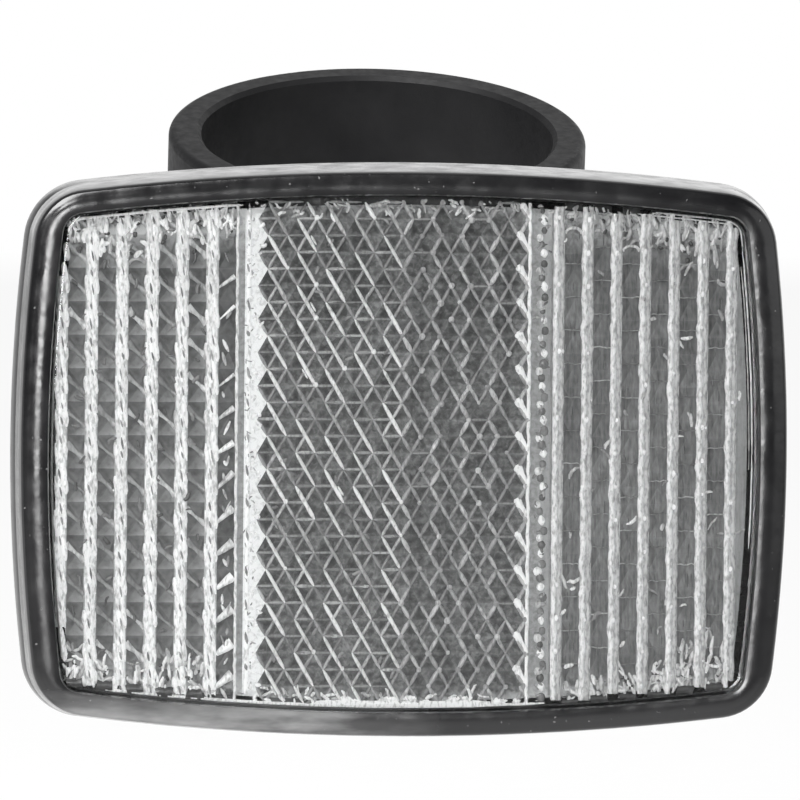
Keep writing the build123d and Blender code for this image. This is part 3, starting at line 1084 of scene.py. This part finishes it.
def border_lines():
    """Painted light and shade: a white line beside the right field with a wedge in each notch, then a row of
    blobs and a thin line.
    """
    path = [(field_right + 0.14 + vary(-0.05, 0.05), z, 0.0) for z in rows(0.5)]
    ridge(path, 0.36, 0.22, 1.0, even)
    blobs_x = strip_right - 0.85
    for row in range(2 - half_rows, half_rows - 1):
        z = row * half_row
        x = blobs_x + vary(-0.1, 0.1)
        if row % 2:
            start = (border_edge(row) - 0.05, z + 0.45, -0.02)
            stroke(start, (field_right + 0.1, z - 0.9 * half_row, -0.02),
                   vary(0.7, 0.95), 0.25, 1.0, steps=8, narrowing=drop)
            dot(x - 0.3, z - 0.1, 0.0, vary(0.3, 0.45), vary(0.6, 0.95))
            dot(x + 0.1, z + 0.55, -0.02, vary(0.3, 0.45), vary(0.12, 0.3))
            dot(x - 0.1, z - 0.7, -0.02, vary(0.25, 0.4), vary(0.12, 0.3))
        else:
            tall, wide = vary(0.35, 0.5), vary(0.6, 0.85)
            stroke((x - 0.08, z + tall, 0.0), (x + 0.08, z - tall, 0.0), wide, 0.2, 1.0,
                   steps=6, narrowing=spindle)
        for _ in range(2):
            wisp(strip_right - vary(0.4, 1.5), z + vary(-0.7, 0.7),
                 vary(0.4, 0.9), vary(0.15, 0.3), vary(0.25, 0.6))
    path = [(strip_right - 0.1, z, 0.0) for z in rows(0.75)]
    ridge(path, 0.2, 0.2, 0.42, even)


def painted_patches_at_end(x_low, x_high, sign, reach, brightest):
    """Painted light and shade: white crooked patches with painted dark spots that crowd a column of cells
    towards the lens's edge.
    """
    middle, half = (x_low + x_high) / 2, (x_high - x_low) / 2
    edge = end_height(middle)
    distance = 0.2
    while distance < reach:
        crowd = 3 if distance < 0.6 * reach else 2
        for _ in range(crowd):
            wisp(vary(x_low, x_high), sign * (edge - distance - vary(-0.4, 0.4)),
                 vary(0.7, 2.0), vary(0.2, 0.45), vary(0.6, 1.0) * brightest,
                 upright=chance(0.6))
        if chance(0.4):
            x = vary(x_low + 0.3, x_high - 0.3)
            wisp(x, sign * (edge - distance), 0.5, vary(0.2, 0.4), 0.1)
        distance += vary(0.4, 0.8)
    if chance(0.4):
        rise = vary(0.2, 0.7)
        path = [(middle - half * math.cos(math.pi * i / 7) * vary(0.8, 1.0),
                 sign * (edge - reach - 0.9 + rise * math.sin(math.pi * i / 7)), -0.04) for i in range(8)]
        ridge(path, vary(0.25, 0.4), 0.15, vary(0.35, 0.8))


def painted_dark_foot(x_low, x_high, tall):
    """Painted shade: a dark patch between two ribs at the very bottom, where the cells stop short of the
    edge.
    """
    z = -end_height((x_low + x_high) / 2) + tall / 2
    level_bar(x_low + 0.05, x_high - 0.05, z, tall, 0.06, depth=-0.16)


def side_lines():
    half = left_rib_width / 2
    for number, x in enumerate(left_ribs):
        braided_rib(x)
        if number:
            x_low, x_high = left_ribs[number - 1] + half, x - half
            left_cell_marks(x_low, x_high)
            painted_patches_at_end(x_low, x_high, 1, vary(2.4, 4.6), 1.0)
            painted_patches_at_end(x_low, x_high, -1, vary(1.0, 3.4), 1.0)
            painted_dark_foot(x_low, x_high, vary(0.5, 1.0))
    x_low, x_high = left_ribs[-1] + half, land_left
    last_cell_marks(x_low, x_high)
    painted_patches_at_end(x_low, x_high, 1, 3.0, 1.0)
    half = right_rib_width / 2
    for number, x in enumerate(right_ribs):
        straight_rib(x)
        if number:
            x_low, x_high = right_ribs[number - 1] + half, x - half
            right_cell_marks(x_low, x_high, number % 2 / 2 + 0.2)
            reach = 1.2 + 0.6 * number
            painted_patches_at_end(x_low, x_high, 1, reach, 0.75)
            painted_patches_at_end(x_low, x_high, -1, reach * 0.8, 0.85)
            painted_dark_foot(x_low, x_high, vary(0.3, 0.8))


def scattered_painted_glints():
    """Painted glints: small bright marks here and there, more of them on the right and at the ends of the
    centre field.
    """
    for _ in range(right_marks):
        x, z = vary(14, 30.5), vary(-20, 20)
        wisp(x, z, vary(0.5, 1.5), vary(0.2, 0.4), vary(0.4, 0.85))
    for _ in range(end_marks):
        x = vary(field_left, field_right)
        sign = rng.choice((1, -1))
        z = sign * (end_height(x) - vary(0.1, 1.4))
        wisp(x, z, vary(0.5, 1.2), vary(0.15, 0.35), vary(0.5, 1.0))
    for _ in range(foot_marks):
        x = vary(field_left + 1, field_right)
        length = vary(0.5, 1.4)
        z = vary(0.25, 0.9) - end_height(x)
        level_bar(x, x + length, z, vary(0.3, 0.6), 1.0, depth=-0.05)


# Painted highlights inside the rim: how far the outline is grown, the spans of x and z, width and shade
painted_edge_highlights = [
    (-0.45, (-30.2, -13.5), (18, 25), 0.26, 1.0),
    (-0.3, (21, 31), (18, 25), 0.16, 0.85),
    (-0.6, (20, 29.5), (18, 25), 0.14, 0.9),
    (-0.35, (30, 35), (-9, 19), 0.16, 0.95),
    (-0.62, (30, 35), (-2, 17), 0.12, 0.7),
    (-0.25, (-35, -30), (-19, 14), 0.2, 0.5),
    (-0.3, (-29, 13), (-25, -18), 0.28, 0.9),
    (-0.5, (-9, 9), (-25, -18), 0.6, 0.95),
]


def edge_lines():
    """Painted highlights where the lens's rounded border shows as thin bright lines inside the rim, so
    outside the field.
    """
    for grow, x_span, z_span, width, shade in painted_edge_highlights:
        run = []
        ring = lens_outline(grow)
        for x, z in ring + ring[:1]:
            if x_span[0] < x < x_span[1] and z_span[0] < z < z_span[1]:
                run.append((x + vary(-0.02, 0.02), z + vary(-0.02, 0.02), -0.1))
            elif run:
                ridge(run, width, 0.15, shade, margin=-1.0)
                run = []
        ridge(run, width, 0.15, shade, margin=-1.0)


def make_ridges(material):
    left_field_lines()
    right_field_lines()
    side_lines()
    land_lines()
    border_lines()
    scattered_painted_glints()
    edge_lines()
    points = [(x, face_y + plate_back + depth, stud_z + z) for x, z, depth in ridge_points]
    skin = (points, ridge_faces)
    # The ridges carry the painted highlights and painted shade of the lens's prisms
    piece = make_piece("lens_painted_ridges", skin, "reflector", material, sharp_deg=70)
    add_layer(piece.data, "shade", ridge_shades)


# Stage

# How much of what gloss and glass show behind the reflector is the white backdrop
mirrored_white = 0.6
# How much of the floor near the reflector is white whatever the shadow
floor_glow = 0.88
floor_reach = 6.0
# How bright the room is, and how it fades along each axis of a direction, from one place and level to another
room_strength = 1.8
room_fades = [
    ("Y", (-0.2, 0.09), (0.5, 1.0)),
    ("X", (-0.28, 0.33), (-0.06, 1.0)),
    ("Z", (0.2, 1.0), (0.45, 0.45)),
]
# Lamps: place, width, height and power
lamps = {
    "key": ((-0.35, -0.6, 0.55), 0.5, 0.5, 14.5),
    "fill": ((0.5, -0.55, 0.1), 0.5, 0.5, 0.8),
    "strip": ((-0.2, -1.3, 0.05), 0.27, 0.4, 9),
}


def maths(tree, operation, first, second):
    """Result of an operation on two values, kept from 0 to 1."""
    node = add_node(tree, "Math")
    node.operation = operation
    node.use_clamp = True
    plug(tree, node.inputs[0], first)
    plug(tree, node.inputs[1], second)
    return node.outputs[0]


def background_share(tree, behind):
    """1 where the camera looks, and where gloss and glass show what is behind the reflector."""
    rays = add_node(tree, "LightPath").outputs
    mirrored = maths(tree, "ADD", rays["Is Glossy Ray"], rays["Is Transmission Ray"])
    mirrored = maths(tree, "MULTIPLY", mirrored, mirrored_white)
    mirrored = maths(tree, "MULTIPLY", mirrored, behind)
    return maths(tree, "MAXIMUM", mirrored, rays["Is Camera Ray"])


def floor_material():
    """White, but grey well in front of the reflector, so that the lens has something darker to mirror. It
    keeps the shadow near the reflector, and runs into the white backdrop far behind it."""
    finish = Finish("floor", roughness=0.6)
    grain = finish.noise(4, detail=3, stops=[(0.3, 0.96), (0.7, 1.0)])
    fading = finish.ramp(finish.fade("Y", -0.2, -0.06), [(0.0, 0.12), (1.0, 0.93)])
    finish.set("Base Color", finish.times(fading, grain))
    shadowless = maths(finish.tree, "MAXIMUM", finish.fade("Y", 0.1, 1.5), floor_glow)
    share = background_share(finish.tree, finish.fade("Y", -0.06, 0.1))
    share = maths(finish.tree, "MULTIPLY", share, shadowless)
    show_mix(finish.tree, share, finish.shader, finish.add("Emission"))
    return finish.material


def make_floor():
    """Floor just below the lowest place that a corner of the housing comes to as the joints turn."""
    below = arm_drop + math.hypot(front_width / 2 + flare, front_height / 2 + flare)
    low = (hinge_z - math.hypot(below, hinge_y - face_y)) * MM
    corners = [(x * floor_reach, y * floor_reach, low) for x, y in ((-1, -1), (1, -1), (1, 1), (-1, 1))]
    mesh = bpy.data.meshes.new("floor")
    mesh.from_pydata(corners, [], [(0, 1, 2, 3)])
    mesh.materials.append(floor_material())
    floor = add_object("floor", mesh)


def make_world():
    """White where the camera looks, and else a soft room that is bright low behind the reflector."""
    world = bpy.data.worlds.new("studio")
    bpy.context.scene.world = world
    world.use_nodes = True
    tree = world.node_tree
    place = add_node(tree, "TexCoord").outputs["Generated"]
    level = 1.0
    for axis, start, end in room_fades:
        level = maths(tree, "MULTIPLY", level, fade(tree, place, axis, start, end))
    room = tree.nodes["Background"]
    plug(tree, room.inputs["Color"], level)
    plug(tree, room.inputs["Strength"], room_strength)
    white = add_node(tree, "Background", Color=(1, 1, 1, 1))
    show_mix(tree, background_share(tree, level), room, white, output="World Output")


def softbox(name, place, width, height, power):
    lamp = bpy.data.lights.new(name, "AREA")
    lamp.shape = "RECTANGLE"
    lamp.size = width
    lamp.size_y = height
    lamp.energy = power
    holder = add_object(name, lamp)
    holder.location = place
    aim = Vector((0, face_y * MM, stud_z * MM)) - Vector(place)
    holder.rotation_mode = "QUATERNION"
    holder.rotation_quaternion = aim.to_track_quat("-Z", "Y")


# Camera: its distance, where it stands round the middle of the face, and the scale of its picture there
camera_distance = 1200.0
camera_left_deg = 4.2
camera_above_deg = 3.0
camera_roll_deg = 0.48
look_at = (-0.49, face_y, stud_z + 4.9)
frame_pixels = 800
pixels_per_mm = 11.17
sensor_width = 36


def make_camera():
    data = bpy.data.cameras.new("camera")
    data.sensor_width = sensor_width
    data.lens = sensor_width * camera_distance * pixels_per_mm / frame_pixels
    camera = add_object("camera", data)
    left, above = math.radians(camera_left_deg), math.radians(camera_above_deg)
    away = Vector((-math.sin(left) * math.cos(above), -math.cos(left) * math.cos(above), math.sin(above)))
    camera.location = (Vector(look_at) + away * camera_distance) * MM
    camera.rotation_euler = (-away).to_track_quat("-Z", "Y").to_euler()
    camera.rotation_euler.rotate_axis("Z", math.radians(camera_roll_deg))
    bpy.context.scene.camera = camera


def paint(material, names):
    for name in names:
        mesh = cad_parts[name].data
        mesh.materials.clear()
        mesh.materials.append(material)


make_camera()
make_world()
for lamp_name, settings in lamps.items():
    softbox(lamp_name, *settings)
make_housing(black_plastic())
make_lens_front(clear_acrylic())
make_prisms(prism_facets_painted_shading())
make_ridges(prism_edges_painted_light_and_shade())
paint(bracket_plastic(), ["clamp_band", "bracket_arm"])
zinc = zinc_steel()
make_stud_bolt(zinc)
make_clamp_bolt(zinc)
paint(zinc, ["stud_plain_washer", "stud_spring_washer", "stud_nut",
             "clamp_plain_washer", "clamp_spring_washer", "clamp_nut"])
make_floor()
bpy.context.scene.view_settings.view_transform = "Standard"
